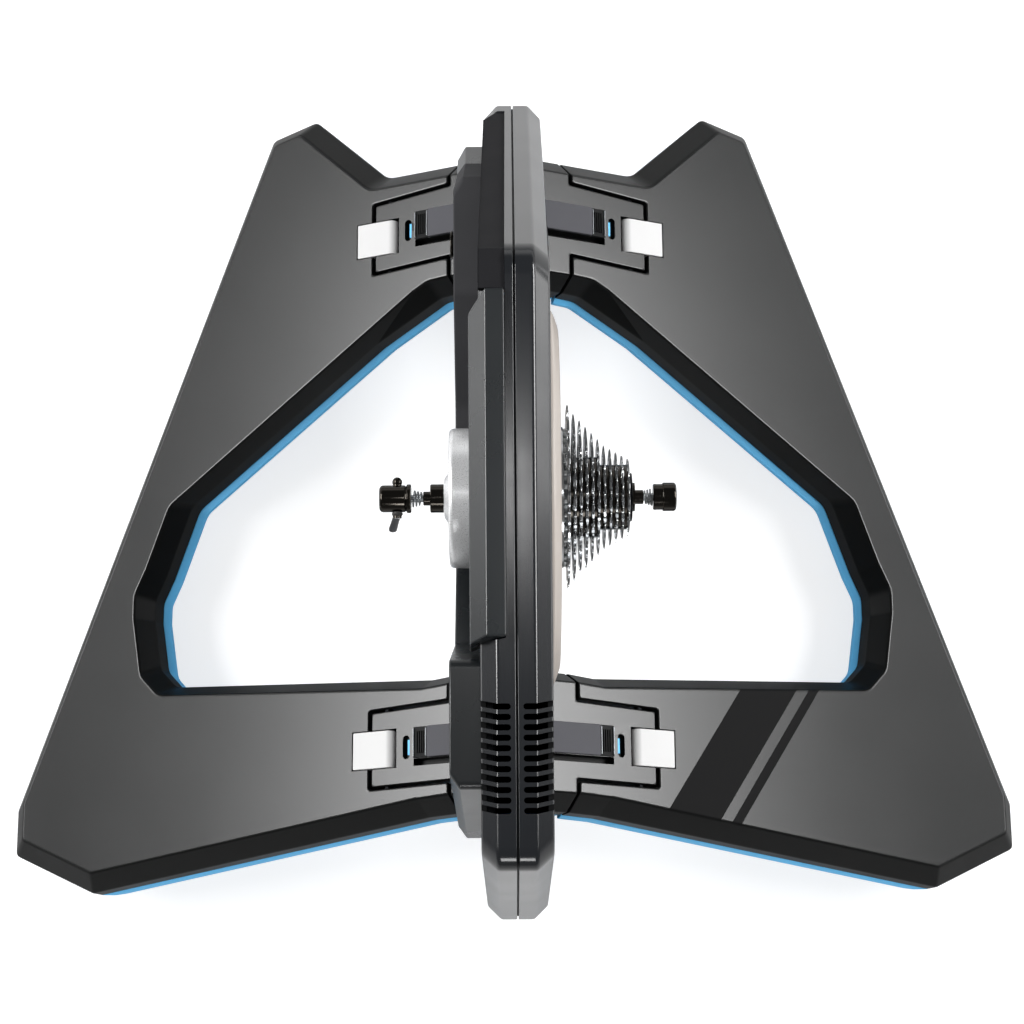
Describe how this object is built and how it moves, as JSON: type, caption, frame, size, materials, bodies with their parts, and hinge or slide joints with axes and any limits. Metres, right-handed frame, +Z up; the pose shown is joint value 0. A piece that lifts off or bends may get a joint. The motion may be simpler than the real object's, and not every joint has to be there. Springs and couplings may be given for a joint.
{
  "type": "direct drive bike trainer",
  "caption": "Direct drive indoor bike trainer: a slim upright flywheel casing with an axle and cassette in place of the rear wheel, and two wide legs with open windows that fold up.",
  "frame": {"origin": "on the floor under the middle of the outline", "axes": "+X to the drive side (rider's right), +Y forward, +Z up"},
  "size_m": [0.7502, 0.5911, 0.55],
  "materials": {
    "shell": "fine textured, satin",
    "side_housing": "fine textured, satin",
    "matte_panel": "flat matte",
    "leg_top": "satin lacquer",
    "leg_frame": "black powder coat",
    "blue_trim": "satin",
    "rubber": "matte",
    "arm": "satin lacquer",
    "arm_cap": "satin",
    "latch": "satin",
    "steel": "machined",
    "sprocket_steel": "bright plated",
    "aluminium": "turned",
    "pale_cover": "satin",
    "black_steel": "gloss black",
    "stator": "lacquered",
    "board": "satin"
  },
  "bodies": {
    "casing": {"left_shell": "shell", "right_shell": "shell", "left_side_housing": "side_housing", "left_side_cover": "side_housing", "left_front_cover": "matte_panel", "inner_frame": "leg_frame", "power_socket": "black_steel", "circuit_board": "board", "stator": "stator", "drive_side_cover": "pale_cover", "left_hub_cap": "aluminium", "axle_shaft": "steel", "left_axle_adapter": "black_steel", "right_axle_adapter": "steel", "skewer_rod": "steel", "skewer_cam_housing": "black_steel", "left_skewer_spring": "steel", "right_skewer_spring": "steel", "front_cross_arm": "arm", "rear_cross_arm": "arm", "left_front_arm_cap": "arm_cap", "left_front_lock_tab": "blue_trim", "left_rear_arm_cap": "arm_cap", "left_rear_lock_tab": "blue_trim", "right_front_arm_cap": "arm_cap", "right_front_lock_tab": "blue_trim", "right_rear_arm_cap": "arm_cap", "right_rear_lock_tab": "blue_trim"},
    "rotor": {"rotor_ring": "steel", "hub_flange": "steel", "hub_bearing": "steel"},
    "cassette": {"freehub_body": "steel", "sprockets_28_25_23": "sprocket_steel", "sprockets_21_19_17": "sprocket_steel", "sprocket_15": "sprocket_steel", "sprocket_14": "sprocket_steel", "sprocket_13": "sprocket_steel", "sprocket_12": "sprocket_steel", "sprocket_11": "sprocket_steel", "lockring": "black_steel"},
    "skewer_lever": {"skewer_lever": "black_steel"},
    "skewer_nut": {"skewer_nut": "black_steel"},
    "left_leg": {"left_leg_cover": "leg_top", "left_leg_frame": "leg_frame", "left_leg_tray": "blue_trim", "left_front_foot": "rubber", "left_rear_foot": "rubber", "left_front_hinge_pin": "steel", "left_rear_hinge_pin": "steel"},
    "left_front_latch": {"left_front_latch": "latch"},
    "left_rear_latch": {"left_rear_latch": "latch"},
    "right_leg": {"right_leg_cover": "leg_top", "right_leg_frame": "leg_frame", "right_leg_tray": "blue_trim", "right_front_foot": "rubber", "right_rear_foot": "rubber", "right_front_hinge_pin": "steel", "right_rear_hinge_pin": "steel"},
    "right_front_latch": {"right_front_latch": "latch"},
    "right_rear_latch": {"right_rear_latch": "latch"}
  },
  "joints": [
    {"name": "rotor_spin", "type": "hinge", "parent": "casing", "child": "rotor", "pos_m": [0, -0.023, 0.33], "axis": [1, 0, 0], "continuous": true},
    {"name": "freehub_spin", "type": "hinge", "parent": "rotor", "child": "cassette", "pos_m": [0.05, -0.023, 0.33], "axis": [1, 0, 0], "continuous": true},
    {"name": "skewer_lever_swing", "type": "hinge", "parent": "casing", "child": "skewer_lever", "pos_m": [-0.073, -0.023, 0.33], "axis": [0, 1, 0], "range_deg": [0, 180]},
    {"name": "skewer_nut_turn", "type": "hinge", "parent": "casing", "child": "skewer_nut", "pos_m": [0.0898, -0.023, 0.33], "axis": [1, 0, 0], "continuous": true},
    {"name": "left_leg_fold", "type": "hinge", "parent": "casing", "child": "left_leg", "pos_m": [-0.087, -0.008, 0.135], "axis": [0, 0.9853, -0.1711], "range_deg": [0, 110]},
    {"name": "left_front_latch_tilt", "type": "hinge", "parent": "left_leg", "child": "left_front_latch", "pos_m": [-0.10537, 0.19085, 0.09242], "axis": [0, -0.9853, 0.1711], "range_deg": [0, 3], "stiffness_Nm_per_rad": 0.4, "springref_deg": -17.19},
    {"name": "left_rear_latch_tilt", "type": "hinge", "parent": "left_leg", "child": "left_rear_latch", "pos_m": [-0.10537, -0.18326, 0.15738], "axis": [0, -0.9853, 0.1711], "range_deg": [0, 3], "stiffness_Nm_per_rad": 0.4, "springref_deg": -17.19},
    {"name": "right_leg_fold", "type": "hinge", "parent": "casing", "child": "right_leg", "pos_m": [0.087, -0.008, 0.135], "axis": [0, -0.9853, 0.1711], "range_deg": [0, 110]},
    {"name": "right_front_latch_tilt", "type": "hinge", "parent": "right_leg", "child": "right_front_latch", "pos_m": [0.10537, 0.19085, 0.09242], "axis": [0, 0.9853, -0.1711], "range_deg": [0, 3], "stiffness_Nm_per_rad": 0.4, "springref_deg": -17.19},
    {"name": "right_rear_latch_tilt", "type": "hinge", "parent": "right_leg", "child": "right_rear_latch", "pos_m": [0.10537, -0.18326, 0.15738], "axis": [0, 0.9853, -0.1711], "range_deg": [0, 3], "stiffness_Nm_per_rad": 0.4, "springref_deg": -17.19}
  ]
}
